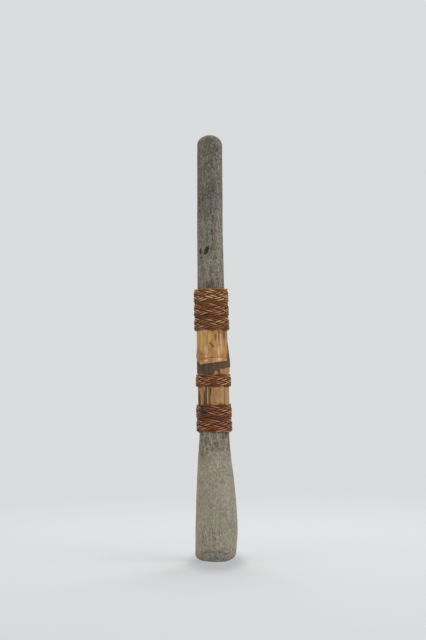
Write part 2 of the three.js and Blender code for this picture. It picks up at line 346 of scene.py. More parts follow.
stoneLook = {
    "butt": (0.158, 0.139, 0.113),
    "shaft": (0.210, 0.186, 0.144),
    "neck": (0.205, 0.178, 0.128),
    "head": (0.325, 0.296, 0.234),
    "rim": (0.270, 0.248, 0.203),
    # heights in metres over which the shaft's tone gives way to each of the others
    "zones": {"butt": (0.300, 0.390), "neck": (0.150, 0.126), "head": (0.127, 0.096), "rim": (0.013, 0.006)},
    "shaftFade": (0.10, 0.14),
    "neckFades": [(0.104, 0.118), (0.150, 0.138)],
    "gripFades": [(0.136, 0.140), (0.287, 0.283)],
    # the stone is painted a darker brown under the grip, where it shows between the strips
    "underGripTone": (0.150, 0.058, 0.018),  # under the grip
    "underGripShare": 0.85,
    # near black: painted shade in pecks, pits, the spall's rim and the crease, a darker band below the
    # crease, and dark motes
    "hollow": (0.030, 0.027, 0.021),
    "pale": (0.42, 0.38, 0.31),
    "warm": (1.03, 1.0, 0.94),
    "cool": (0.96, 1.0, 1.03),
    "olive": (0.98, 1.0, 0.93),
    "rose": (1.05, 0.99, 0.98),
    "tints": {  # what the tinted patches multiply the tone by
        "slate": (0.86, 0.94, 1.02),
        "brown": (1.04, 0.96, 0.87),
        "umber": (0.70, 0.58, 0.50),
        "moss": (0.72, 0.67, 0.49),
        "blanch": (1.22, 1.18, 1.17),
    },
    "lengthwise": (1, 1, 0.14),  # scale of the patterns along each axis
    "drawn": (1, 1, 0.55),
    # size, detail and roughness of each noise
    "broad": [22, 2.0], "streak": [2.2, 4.0, 0.6], "coarse": [4.2, 3.0, 0.6], "fine": [1.25, 3.0, 0.7],
    "drift": [8.0, 3.0], "patch": [12.0, 3.0], "specks": [2.0, 1.0], "motes": [2.3, 2.0],
    # how much each noise counts, and how much more on the shaft or at the neck
    "broadShare": 0.7, "streakShare": [0.2, 1.0], "coarseShare": [0.7, 2.0], "fineShare": 3.0,
    "contrast": [0.53, 0.36, 0.6],  # on the head, more on the shaft, more where it is flecked
    "speckShare": 0.65, "moteShare": 0.7, "veinShare": 0.9,
    # what part of a noise each change runs over
    "driftSpan": [0.38, 0.62], "patchSpan": [0.42, 0.58], "speckSpan": [0.58, 0.72], "moteSpan": [0.42, 0.28],
    "relief": [0.6, 0.4],  # of the coarse and the fine noise
    "roughness": [0.9, -0.25], "specular": 0.35, "bump": [0.5, 0.7],
}


def stoneFinish():
    # a tone for each zone, then grains as shares of it, tints, flecks, veins, painted shade in the hollows,
    # and a darker brown under the grip
    finish, shade, where, height = newFinish("dressed stone")
    look = stoneLook
    long = shade.stretched(where, look["lengthwise"])
    drawn = shade.stretched(where, look["drawn"])
    tone = look["shaft"]
    for zone, fade in look["zones"].items():
        tone = shade.mix(shade.span(height, *fade), tone, look[zone])
    broad = shade.noise(where, *look["broad"])
    streak = shade.noise(long, *look["streak"])
    coarse = shade.noise(drawn, *look["coarse"])
    fine = shade.noise(drawn, *look["fine"])
    fleck = shade.field("fleck")
    shaft = shade.span(height, *look["shaftFade"])
    neck, grip = (shade.span(height, *look[key][0]) * shade.span(height, *look[key][1])
                  for key in ("neckFades", "gripFades"))
    share = (broad - noiseMean) * look["broadShare"] + (fine - noiseMean) * look["fineShare"]
    share = share + (streak - noiseMean) * within(look["streakShare"], shaft)
    share = share + (coarse - noiseMean) * within(look["coarseShare"], neck)
    onHead, onShaft, onFlecks = look["contrast"]
    tone = shade.times(tone, shade.grey(1 + share * (onHead + onShaft * shaft + onFlecks * fleck)))
    drift = shade.span(shade.noise(long, *look["drift"]), *look["driftSpan"])
    patch = shade.span(shade.noise(where, *look["patch"]), *look["patchSpan"])
    hues = [shade.mix(patch, look["olive"], look["rose"]), shade.mix(drift, look["warm"], look["cool"])]
    tone = shade.times(tone, shade.mix(shaft, *hues))
    for tint, colour in look["tints"].items():
        tone = shade.mix(shade.field(tint), tone, shade.times(tone, colour))
    specks = shade.span(shade.noise(drawn, *look["specks"]), *look["speckSpan"]) * fleck
    motes = shade.span(shade.noise(drawn, *look["motes"]), *look["moteSpan"]) * fleck
    tone = shade.mix(specks * look["speckShare"], tone, look["pale"])
    tone = shade.mix(motes * look["moteShare"], tone, look["hollow"])
    tone = shade.mix(shade.field("vein") * look["veinShare"], tone, look["pale"])
    # painted shade in the hollows
    tone = shade.mix(shade.field("hollow"), tone, look["hollow"])
    # a darker brown under the grip
    tone = shade.mix(grip * look["underGripShare"], tone, look["underGripTone"])
    dress(shade, look, tone, fine, blend(look["relief"], coarse, fine))
    return finish


barkLook = {
    "dark": (0.048, 0.032, 0.019),
    "light": (0.165, 0.106, 0.062),
    "moss": (0.080, 0.066, 0.042),
    "rust": (0.150, 0.060, 0.018),
    "lengthwise": (1, 1, 0.09),
    "fibre": [1.1, 4.0, 0.6],  # size, detail and roughness of the noise
    "patch": [7.0, 3.0],
    "mossShare": 0.6,
    "rustShare": [0.4, 0.6],  # everywhere, and more along the fibres
    "fibreSpan": [0.3, 0.72], "mossSpan": [0.45, 0.65],
    "roughness": [0.95, -0.2], "specular": 0.3, "bump": [0.35, 0.9],
}


def barkFinish():
    # dark and light fibres, mossy patches and rust where the field says
    finish, shade, where, _ = newFinish("dry bark")
    look = barkLook
    fibre = shade.noise(shade.stretched(where, look["lengthwise"]), *look["fibre"])
    patch = shade.noise(where, *look["patch"])
    tone = shade.mix(shade.span(fibre, *look["fibreSpan"]), look["dark"], look["light"])
    tone = shade.mix(shade.span(patch, *look["mossSpan"]) * look["mossShare"], tone, look["moss"])
    tone = shade.mix(shade.field("rust") * within(look["rustShare"], fibre), tone, look["rust"])
    dress(shade, look, tone, fibre, fibre)
    return finish


bambooLook = {
    "dark": (0.360, 0.160, 0.050),
    "mean": (0.500, 0.258, 0.085),
    "light": (0.620, 0.370, 0.155),
    "marks": {  # painted one over the other
        "gold": (0.655, 0.390, 0.108),
        "grey": (0.260, 0.190, 0.125),
        "amber": (0.470, 0.200, 0.034),
        "pale": (0.740, 0.530, 0.320),
        "stain": (0.160, 0.060, 0.018),
    },
    "markShare": [0.65, 0.7],  # everywhere, and more along the fibres
    "lengthwise": (1, 1, 0.05),
    "fibre": [0.9, 3.0, 0.6],  # size, detail and roughness of the noise
    "band": [3.2, 2.0],
    "patch": [6.0, 3.0],
    # shares of bands and patches, or of bands and fibres, and what part of that blend a change of tone takes
    "meanBlend": [0.6, 0.4], "meanSpan": [0.36, 0.62], "lightBlend": [0.5, 0.5], "lightSpan": [0.46, 0.68],
    "roughness": [0.4, 0.25], "specular": 0.3, "bump": [0.16, 0.6],
}


def bambooFinish():
    # lengthwise bands and fibres of three tones, with the marks of each piece over them
    finish, shade, where, _ = newFinish("aged bamboo")
    look = bambooLook
    long = shade.stretched(where, look["lengthwise"])
    fibre = shade.noise(long, *look["fibre"])
    band = shade.noise(long, *look["band"])
    patch = shade.noise(where, *look["patch"])
    patched, streaked = blend(look["meanBlend"], band, patch), blend(look["lightBlend"], band, fibre)
    tone = shade.mix(shade.span(patched, *look["meanSpan"]), look["dark"], look["mean"])
    tone = shade.mix(shade.span(streaked, *look["lightSpan"]), tone, look["light"])
    tone = shade.times(tone, shade.grey(1 + (fibre - noiseMean)))
    for mark, colour in look["marks"].items():
        tone = shade.mix(shade.field(mark) * within(look["markShare"], fibre), tone, colour)
    dress(shade, look, tone, patch, fibre)
    return finish


rattanLook = {
    "red": (0.215, 0.049, 0.011),
    "brown": (0.262, 0.098, 0.026),
    "straw": (0.400, 0.200, 0.060),
    "blush": (0.740, 0.470, 0.300),
    "gold": (0.880, 0.660, 0.370),
    "wine": (0.160, 0.044, 0.036),
    "deep": (0.026, 0.009, 0.004),
    "stain": (0.034, 0.028, 0.020),
    "mottle": [2.6, 3.0, 0.6],  # size, detail and roughness of the noise
    "lines": [1.5, 2.0],
    "squeezed": (1, 1, 6.0),
    "markShare": 0.85,
    # parts of the hue over which red turns to brown, brown to straw, and a pink sheen to a golden one
    "brownSpan": [0.0, 0.5], "strawSpan": [0.5, 1.0], "goldSpan": [0.3, 0.6],
    "roughness": [0.3, 0.3], "specular": 0.2, "bump": [0.12, 0.5],
}


def rattanFinish():
    # the strand's hue runs from red through brown to straw; wine, a painted sheen, painted shadow and dark
    # stains lie over it
    finish, shade, where, _ = newFinish("aged rattan")
    look = rattanLook
    hue = shade.field("hue")
    tone = shade.mix(shade.span(hue, *look["brownSpan"]), look["red"], look["brown"])
    tone = shade.mix(shade.span(hue, *look["strawSpan"]), tone, look["straw"])
    mottle = shade.noise(where, *look["mottle"])
    tone = shade.times(tone, shade.grey(1 + (mottle - noiseMean)))
    tone = shade.mix(shade.field("wine"), tone, look["wine"])
    sheen = shade.mix(shade.span(hue, *look["goldSpan"]), look["blush"], look["gold"])
    tone = shade.mix(shade.field("shine") * look["markShare"], tone, sheen)
    # painted shadow
    tone = shade.mix(shade.field("shadow"), tone, look["deep"])
    lines = shade.noise(shade.stretched(where, look["squeezed"]), *look["lines"])
    tone = shade.mix(shade.field("stain") * look["markShare"], tone, look["stain"])
    dress(shade, look, tone, mottle, lines)
    return finish


stoneSkin = stoneFinish()
barkSkin = barkFinish()
bambooSkin = bambooFinish()
rattanSkin = rattanFinish()
print("finishes made")

# The dressed stone
stoneShape = {
    "rows": 468,
    "columns": 208,
    "outline": [40, 60, 800, 60],  # points tried along the foot, its edge, the flank and the butt
    "flat": [1, 1],  # the foot is flat to this far inside its radius, for points below this height
    "markFray": {"size": 6, "drawn": [1, 1, 0.3]},
    # unevenness left by dressing: depth, size, and how it is drawn out lengthwise
    "facets": {"depth": 0.34, "size": 17, "drawn": [1, 1, 0.45], "level": 0.3, "onShaft": 0.6},
    "scores": {"depth": 0.07, "size": 2.6, "drawn": [1, 1, 0.1], "onHead": 0.4},
    # the darkening of pecks, pits, the spall's rim and the crease is painted shade
    "pecking": {"depth": 0.2, "size": 3.4, "narrow": 1.7, "bowl": 1.5, "darkening": 0.35},
    "rough": {"depth": 0.11, "size": 3},
    "head": [140, 60],  # heights between which the head begins
    "gripFrom": [128, 136],  # the stone is calmer under the grip
    "gripTo": [292, 284],
    "gripCalm": 0.9,
    # lower end and upper end as height and angle, half width, depth
    "pits": [
        [322.6, -22.8, 327.2, -13, 3, 2.4], [322.8, -51.5, 326.2, -49.4, 2.2, 1.7],
        [317.4, -45.6, 318.4, -44.8, 1.1, 0.9], [343.6, 7, 346.8, 11.5, 1, 0.6],
        [365.4, -52.4, 366.6, -51.4, 0.9, 0.6], [402, 140, 405, 148, 1, 0.8],
    ],
    "pitEdge": {"fray": 0.18, "slope": [1.05, 0.35], "darkening": 0.95, "shadeSlope": [1.0, 0.6]},
    # a spall on the head: middle, half sizes, how deep its floor and its lower rim are, and their slopes;
    # painted shade darkens along its lower rim
    "scar": {
        "height": 52.5, "degrees": 39.5, "tall": 15, "wide": 5.2, "fray": 0.07,
        "floor": 0.15, "floorSlope": [1.0, 0.7], "rim": 0.35, "rimAt": 0.93, "rimWide": 0.13,
        "rimFade": [0.5, -0.2], "darkening": 0.32, "shadeWide": 0.12,
    },
    # a broken line round the foot, fainter at the sides and darkened by painted shade, with a mottled darker
    # band below it and chips at the edge
    "crease": {
        "height": 10.6, "depth": 0.45, "wide": 1.2, "wander": 2.4, "wanderSize": 9, "fray": 0.9,
        "drawn": [1, 1, 0.2], "gaps": [-0.5, 0.3], "gapSize": 5, "atSides": 0.3, "front": [0.6, 0.9],
        "darkening": 0.56, "shadeFray": 0.5, "shadeMost": 0.8,
    },
    "smudge": {"below": 0.8, "wide": 2.6, "size": 2.6, "gaps": [-0.25, 0.5], "darkening": 0.47},
    "chips": {"depth": 0.7, "size": 8, "level": 0.05, "below": [13, 8], "beyond": [12, 17]},
    # where the left side is fuller than the right: height, reach and amount
    "fuller": [[4, 4, 0.5], [443, 4, 0.7]],
    # tinted patches: height, angle, tall, wide and strength
    "slate": [
        [412, 6, 28, 2.6, 0.9], [345, 10, 30, 3, 0.6], [375, 22, 24, 1.6, 0.6], [300, 2, 14, 3, 0.25],
        [380, 170, 50, 4, 0.7], [121.5, 6, 3.6, 4, 0.9], [70, 150, 40, 5, 0.6], [330, -120, 40, 3, 0.6],
    ],
    "brown": [
        [60, -62, 70, 9, 0.8], [400, -60, 60, 6, 0.8], [310, -58, 40, 6, 0.8], [90, 215, 40, 9, 0.6],
        [350, 200, 50, 5, 0.6],
    ],
    "umber": [
        [440.6, -3, 4.2, 4.6, 1], [446, 4, 3.4, 7, 0.65], [395.3, 14.5, 6.5, 4.4, 0.55],
        [385.6, -29.7, 10, 4.4, 0.55], [343.5, 11.3, 8, 2.6, 0.5], [327.6, 12.5, 8, 2.4, 0.65],
        [288.2, -3, 4.2, 6.4, 0.95], [121, 4, 3.4, 2.8, 0.75], [129.2, 40.4, 4.5, 5.5, 0.55],
        [357.2, 9.6, 9, 4, 0.3], [347, -15, 18, 4.4, 0.28], [300, 165, 10, 5, 0.5], [410, 195, 8, 4, 0.5],
        [115, 150, 8, 4, 0.4], [13.2, 19, 2.6, 4, 0.6], [6.5, -40, 4.4, 3.6, 0.4],
        [12.8, -20, 1.6, 3.4, 0.9], [12.2, 2, 1.6, 4, 0.5],
    ],
    "moss": [[112, -45.5, 11, 3.2, 0.85], [126, -56, 8, 3, 0.5], [96, 190, 16, 5, 0.5]],
    # lighter patches; those near 50 degrees on the shaft paint its right flank lighter where light falls on
    # it
    "blanch": [
        [395, 52, 60, 5, 0.6], [318, 52, 50, 6, 0.8], [330, 140, 60, 5, 0.6], [300, -20, 14, 6, 0.4],
        [435.8, -40.7, 6, 4, 1], [420.2, -34, 14, 3.6, 0.8], [421, 50, 26, 5, 1],
        [115.5, -18, 5.4, 4.6, 1], [100, 5, 14, 6, 0.4], [115, 44, 6, 5, 0.5],
    ],
    "vein": [
        [124, -12, 2.8, 1.1, 1], [127.5, -18, 3, 0.7, 0.7], [131, -20.5, 2.6, 0.8, 0.85],
        [134, -18.7, 2, 0.8, 0.8], [119.8, -11.5, 1.6, 1.2, 0.7],
    ],
    # where light and dark flecks are dense, and how many there are on the shaft and everywhere
    "fleck": [
        [130, -6, 13, 22, 0.95], [28, -14, 16, 14, 0.8], [380, 46, 70, 4, 1], [310, 42, 30, 5, 0.9],
        [100, -52, 26, 6, 0.9], [420, -40, 30, 5, 0.7], [7, 0, 9, 60, 0.9], [124, 160, 18, 22, 0.9],
        [360, 190, 60, 6, 0.8], [40, 170, 26, 20, 0.7],
    ],
    "leastFleck": [0.45, 0.08],
}


def stoneOutline():
    # radius and height from the middle of the foot to the top of the butt, at even steps along the outline
    power = 2 / skin["footSquareness"]
    wide = skinAt(np.array(skin["footRise"]))[0]
    shoulder = skin["length"] - skin["domeRise"]
    onFoot, onEdge, onFlank, onButt = stoneShape["outline"]
    foot = np.linspace(skin["footHole"], skin["footRadius"], onFoot)[:-1]
    edge = np.linspace(math.pi / 2, 0, onEdge)
    flank = np.linspace(skin["footRise"], shoulder, onFlank)[1:-1]
    butt = np.linspace(0, math.pi / 2 - skin["domeHole"], onButt)
    radius = np.concatenate([
        foot,
        skin["footRadius"] + (wide - skin["footRadius"]) * np.cos(edge) ** power,
        skinAt(flank)[0],
        skin["domeRadius"] * np.cos(butt),
    ])
    height = np.concatenate([
        foot * 0,
        skin["footRise"] * (1 - np.sin(edge) ** power),
        flank,
        shoulder + skin["domeRise"] * np.sin(butt),
    ])
    along = np.concatenate([[0], np.cumsum(np.hypot(np.diff(radius), np.diff(height)))])
    even = np.linspace(0, along[-1], stoneShape["rows"])
    return np.interp(even, along, radius), np.interp(even, along, height)


def makeStone():
    # Turned about the wandering axis, then moved along the outline's normal: broad facets, pecked dimples,
    # lengthwise scores, pits as slanted bowls, a spall as an oval step, and chips along the edge of the foot
    shape, deep = stoneShape, skin["depthShare"]
    radius, height = (line[:, None] for line in stoneOutline())
    stepOut, stepUp = np.gradient(radius, axis=0), np.gradient(height, axis=0)
    length = np.hypot(stepOut, stepUp)
    normalOut, normalUp = stepUp / length, -stepOut / length
    degrees = np.linspace(-180, 180, shape["columns"], endpoint=False)[None, :]
    turn = np.radians(degrees)
    shift = skinAt(height)[1]
    bare = gridOf(shift + radius * np.sin(turn), -radius * deep * np.cos(turn), height)

    head = ease(height, *shape["head"])
    covered = ease(height, *shape["gripFrom"]) * ease(height, *shape["gripTo"])
    exposed = 1 - shape["gripCalm"] * covered
    facets, scores, pecking, crease = (shape[key] for key in ("facets", "scores", "pecking", "crease"))
    uneven = layers(bare * facets["drawn"], facets["size"], seed=3)
    uneven = uneven * (facets["onShaft"] + (1 - facets["onShaft"]) * head) - facets["level"]
    scored = grain(bare * scores["drawn"], scores["size"], seed=11) * (1 - (1 - scores["onHead"]) * head)
    dimples = np.clip(1 - pecks(bare, pecking["size"], seed=21) * pecking["narrow"], 0, 1) ** pecking["bowl"]
    rough = layers(bare, shape["rough"]["size"], seed=31, count=2)
    move = facets["depth"] * uneven + scores["depth"] * scored
    move = exposed * (move + shape["rough"]["depth"] * rough - pecking["depth"] * dimples)
    # the hollow field: painted shade in pecks, pits, the spall's rim and the crease, and a mottled darker
    # band below the crease
    hollow = pecking["darkening"] * dimples * exposed

    edge = shape["pitEdge"]
    for low, lowTurn, high, highTurn, half, depth in shape["pits"]:
        down, aside, span = alongLine(height, degrees, radius, (low, lowTurn), (high, highTurn))
        away = np.hypot((down - span / 2) / (span / 2 + half), aside / half) + edge["fray"] * rough
        move = move - depth * ease(away, *edge["slope"])
        hollow = np.maximum(hollow, edge["darkening"] * ease(away, *edge["shadeSlope"]))

    scar = shape["scar"]
    fromX = radius * np.radians(degrees - scar["degrees"]) / scar["wide"]
    fromZ = (height - scar["height"]) / scar["tall"]
    away = np.hypot(fromX, fromZ) + scar["fray"] * rough
    lower = ease(fromZ, *scar["rimFade"])
    move = move - scar["floor"] * ease(away, *scar["floorSlope"])
    move = move - scar["rim"] * bell(away, scar["rimAt"], scar["rimWide"]) * lower
    hollow = np.maximum(hollow, scar["darkening"] * bell(away, scar["rimAt"], scar["shadeWide"]) * lower)

    smudge, chips = shape["smudge"], shape["chips"]
    level = crease["height"] + crease["fray"] * rough
    level = level + crease["wander"] * grain(bare * crease["drawn"], crease["wanderSize"], seed=41)
    facing = crease["atSides"] + (1 - crease["atSides"]) * ease(np.abs(np.cos(turn)), *crease["front"])
    broken = layers(bare * crease["drawn"], crease["gapSize"], seed=43, count=2)
    line = ease(broken, *crease["gaps"]) * facing * bell(height, level, crease["wide"])
    darkening = ease(layers(bare, smudge["size"], seed=45, count=2), *smudge["gaps"])
    darkening = darkening * bell(height, level - smudge["below"], smudge["wide"])
    chipped = np.clip(layers(bare, chips["size"], seed=51) - chips["level"], 0, 1)
    chipped = chipped * ease(height, *chips["below"]) * ease(radius, *chips["beyond"])
    move = move - crease["depth"] * line - chips["depth"] * chipped
    lineShade = np.clip(line * (crease["darkening"] + crease["shadeFray"] * rough), 0, crease["shadeMost"])
    hollow = np.maximum.reduce([hollow, lineShade, smudge["darkening"] * darkening])
    for middle, reach, amount in shape["fuller"]:
        move = move + amount * bell(height, middle, reach) * np.clip(-np.sin(turn), 0, 1)

    x = shift + (radius + move * normalOut) * np.sin(turn)
    y = -(radius * deep + move * normalOut) * np.cos(turn)
    z = np.clip(height + move * normalUp, 0, skin["length"])
    margin, below = shape["flat"]
    z = np.where((radius < skin["footRadius"] - margin) & (height < below), 0, z)
    points = gridOf(x, y, z)
    rows, columns = x.shape
    total = rows * columns
    poles = np.stack([points[0].mean(0), points[-1].mean(0)])
    poles[:, 2] = [0, skin["length"]]
    step = np.arange(columns)
    after = (step + 1) % columns
    last = total - columns
    caps = [(total, after, step), (total + 1, last + step, last + after)]
    faces = ringFaces(rows, columns).tolist() + [face for cap in caps for face in gridOf(*cap).tolist()]

    fray = layers(bare * shape["markFray"]["drawn"], shape["markFray"]["size"], seed=65, count=2)
    kinds = (*stoneLook["tints"], "vein", "fleck")
    fields = {"hollow": hollow, **markFields(shape, kinds, height, degrees, radius, fray)}
    onShaft, everywhere = shape["leastFleck"]
    fields["fleck"] = np.maximum(onShaft * (1 - head) + everywhere, fields["fleck"])
    fields = {name: np.append(np.clip(field, 0, 1), [0, 0]) for name, field in fields.items()}
    allPoints = np.concatenate([points.reshape(-1, 3), poles])
    putPiece("dressedStone", allPoints, faces, "stone_body", stoneSkin, fields)


makeStone()

# The layers of the grip, outwards from the stone
grip = {
    "fit": 0.2,
    "wrapThickness": 0.55,
    "wrapTop": 283.0,
    "wrapSeam": 24.0,
    "wrapFlareFrom": 228.0,
    "wrapFlarePast": 1.0,  # above the strips' ends
    "torn": [[84, 90], [100, 112]],  # angles over which the torn side begins and ends
    "wrapLift": 1.15,
    "wrapLiftFrom": [240, 222],
    "stripThickness": 1.1,
    "stripThinEnd": 0.8,
    "stripBottom": 136.0,
    "stripTaperFrom": 165.0,
    "stripBend": 1.1,  # how far the strips' ends bend out below the torn side
    "stripBendFrom": [195, 197.5],
    "stripReach": 203.6,
    "plateThickness": 0.85,
    "plateTop": 284.5,
}


def tornAt(degrees):
    # 1 on the torn side of the wrap, 0 elsewhere
    rises, falls = grip["torn"]
    return ease(degrees, *rises) - ease(degrees, *falls)


def wrapSeat(height, degrees):
    # close on the stone, wider over the ends of the strips, and standing off at its torn side
    flare = ease(height, grip["wrapFlareFrom"], grip["stripReach"] + grip["wrapFlarePast"])
    lift = grip["wrapLift"] * tornAt(degrees) * ease(height, *grip["wrapLiftFrom"])
    return grip["fit"] + flare * (grip["fit"] + grip["stripThickness"]) + lift


wrapShape = {
    "columns": 300,
    "rows": 76,
    "crowding": 1.8,  # rows stand closer at the lower edge
    # angle and height of the lower edge: whole on the left, torn away on the right
    "edge": [
        [-180, 195.8], [4.5, 195.8], [6, 198], [7.5, 199.2], [9.3, 198.9], [11, 198.2], [16, 197.6],
        [17.2, 195.9], [23.2, 195.9], [24.4, 199.6], [28.5, 200.9], [38, 200.2], [46, 200.4], [52, 201.3],
        [58, 202], [64, 201.6], [90, 202], [106, 202], [115, 195.9], [180, 195.8],
    ],
    # depth and size of the raggedness and the fibres
    "ragged": [0.28, 1.6],
    "fibre": [0.07, 1.1],
    "arcToDegree": 0.26,
    "lengthwise": 0.1,
    "offStone": 2.0,
    "sharp": 50,
    "rust": [[205, 30, 4, 6, 0.5], [198, 19, 5, 1.6, 1], [196.5, -40, 2, 14, 0.8]],
}


def makeWrap():
    # height runs from the torn edge to the top, more closely at the edge; fibres are lengthwise ridges
    shape = wrapShape
    reach = 180 - grip["wrapSeam"] / 2
    degrees = np.linspace(-reach, reach, shape["columns"])[None, :]
    share = np.linspace(0, 1, shape["rows"])[:, None] ** shape["crowding"]
    arc = degrees * shape["arcToDegree"]
    foot = np.interp(degrees, *np.array(shape["edge"], float).T)
    (raggedDepth, raggedSize), (fibreDepth, fibreSize) = shape["ragged"], shape["fibre"]
    foot = foot + raggedDepth * layers(gridOf(arc), raggedSize, seed=71)
    height = foot + (grip["wrapTop"] - foot) * share
    ridges = layers(gridOf(arc, height * shape["lengthwise"]), fibreSize, seed=73)
    seat = wrapSeat(height, degrees)
    outer = outside(height, degrees, seat + grip["wrapThickness"] + fibreDepth * ridges)
    inner = outside(height, degrees, seat)
    radius = skinAt(height)[0] + shape["offStone"]
    rust = markFields(shape, ["rust"], height, degrees, radius, ridges)
    putSheet("barkWrap", outer, inner, "bark_wrap", barkSkin, rust, shape["sharp"])


makeWrap()

# Plates of bamboo
markRun = [1, 4, 1]  # marks on bamboo are frayed by a noise that is less drawn out than the fibres
culm = {
    "columns": 132,
    "rows": 150,
    "crowding": 1.35,  # rows stand closer at the lower end
    "width": 44.0,
    "joint": 212.2,
    "swell": 0.2,
    "spread": 2.0,
    "ridgeReach": 1.5,  # of the joint's ridges, in spreads
    "ragged": 0.35,
    "fibre": 0.05,
    "flats": 0.1,
    "flatsFade": [241, 236],
    "lengthwise": 0.06,
    "jointFray": 0.25,
    "waver": 0.8,  # of the long edges, in degrees
    "splitWaver": 0.35,
    "splitHair": 0.02,  # half of the split's least width
    # size of the noise behind each
    "sizes": {"ragged": 2.2, "waver": 5, "wander": 7, "gape": 3, "fray": 2.0, "fibre": 1.2, "flats": 7},
    # the split's lips stand up a little and carry a painted highlight
    "lips": {"rise": 0.08, "wide": 0.9, "pale": 0.4},
    "rim": {"thin": 0.35, "wide": 0.8, "stain": 0.55, "stained": [0.9, 0.2]},
    "end": {"stain": 0.35, "stained": [0.7, 0.1]},
    "scratch": {"floor": 0.15, "starts": [-0.4, 0.5], "stain": 0.9},
    "leastThick": 0.12,
    "offStone": 1.8,
    "sharp": 45,
}
frontPlate = {
    "edges": [-84, 84],
    "footEdges": [-46, 57],
    "taperFrom": [213, 233],
    "ends": [204.7, 209],
    "split": {"degrees": 25.6, "bottom": 222, "full": 237, "width": 1, "wander": 3.2},
    # height, angle, tall, wide and strength of each mark
    "stain": [
        [237, 50.5, 8, 2.2, 1], [228.5, 50.5, 7, 0.9, 0.6], [216.2, -45, 2.6, 2.2, 0.5],
        [211.2, -46, 1.6, 3, 0.6], [233.5, 12.5, 4.6, 1.1, 0.85], [239.5, 40, 3, 3.6, 0.45],
        [233, 25.6, 9, 0.8, 0.75], [231.5, 31, 4, 0.5, 0.4], [225, 30.5, 1.2, 0.6, 0.85],
        [224.8, 21, 1, 0.6, 0.8], [212.2, -1, 0.7, 4.6, 0.85], [211.6, -40, 0.7, 6, 0.55],
        [214.5, 36, 1.8, 1.3, 0.5], [233.5, -18.5, 6, 0.6, 0.5], [212.1, 40, 0.6, 9, 0.35],
        [230, 0, 0.5, 4, 0.35], [213, 58, 4, 1.6, 0.45], [221, 17, 6, 0.5, 0.4],
        [226, -58, 14, 0.7, 0.45], [221, -8, 1.5, 1.2, 0.3], [219.5, 27.5, 4.5, 0.4, 0.6],
    ],
    # pale marks; those at 208 to 214 mm, on the joint's ridges, are painted highlights
    "pale": [
        [213.6, -23, 0.9, 2.4, 1], [208.9, -22.6, 1.5, 2.4, 0.85], [210, 21.8, 1.9, 2.4, 0.9],
        [219, 22, 6, 1.8, 0.75], [230, 20, 8, 0.7, 0.5], [228, 33, 10, 1, 0.5], [208.9, 58, 1.2, 5, 0.4],
        [219.5, -24, 7, 2.6, 0.5], [206.5, -30, 0.8, 7, 0.3], [240, -35, 2, 8, 0.3],
        [237, 28, 3.5, 1.6, 0.4],
    ],
    "gold": [
        [232, -48, 12, 7, 0.85], [234, -8, 7, 4, 0.5], [221, -38, 5, 4, 0.45], [222, 42, 6, 2.4, 0.4],
    ],
    "amber": [
        [217, 1.5, 4.6, 3.6, 0.9], [214, 47, 4.6, 3, 0.8], [216.5, -44, 4.4, 3.2, 0.7],
        [232, 20, 10, 3, 0.5], [210.5, -46, 2.6, 3.6, 0.6], [232, -52, 9, 2.4, 0.45],
        [222, 55, 8, 3, 0.5], [240, 5, 3, 9, 0.4], [226, 4, 7, 3, 0.35],
    ],
    "grey": [[238, 66, 9, 2, 0.75], [219, -57, 7, 1.2, 0.4], [208.5, -53, 4, 1, 0.5]],
    # a knife mark: its two ends, half width and depth
    "scratch": [[228.3, -9], [222.6, 2.4], 1.7, 0.5],
    "seed": 80,
}
backPlate = {
    "edges": [112, 250],
    "footEdges": [118, 246],
    "taperFrom": [226, 226],
    "ends": [208, 206.5],
    "split": {"degrees": 158, "bottom": 231, "full": 245, "width": 0.7, "wander": 2.5},
    "stain": [
        [229, 196, 7, 0.8, 0.6], [216, 141, 3, 2, 0.5], [221, 222, 4, 1.6, 0.5], [212, 180, 0.6, 9, 0.5],
        [236, 170, 5, 0.6, 0.5],
    ],
    # pale marks; those at 209 to 214 mm, on the joint's ridges, are painted highlights
    "pale": [[213.8, 165, 0.8, 2.6, 0.8], [209.6, 205, 1.2, 2.4, 0.8], [225, 186, 6, 1.1, 0.5]],
    "gold": [[230, 212, 9, 4, 0.6], [218, 172, 5, 3, 0.5]],
    "amber": [[216, 190, 4, 4, 0.7], [228, 150, 8, 3, 0.6]],
    "grey": [[235, 120, 9, 2, 0.6]],
    "scratch": [[220, 150], [217.5, 154], 0.5, 0.25],
    "seed": 90,
}


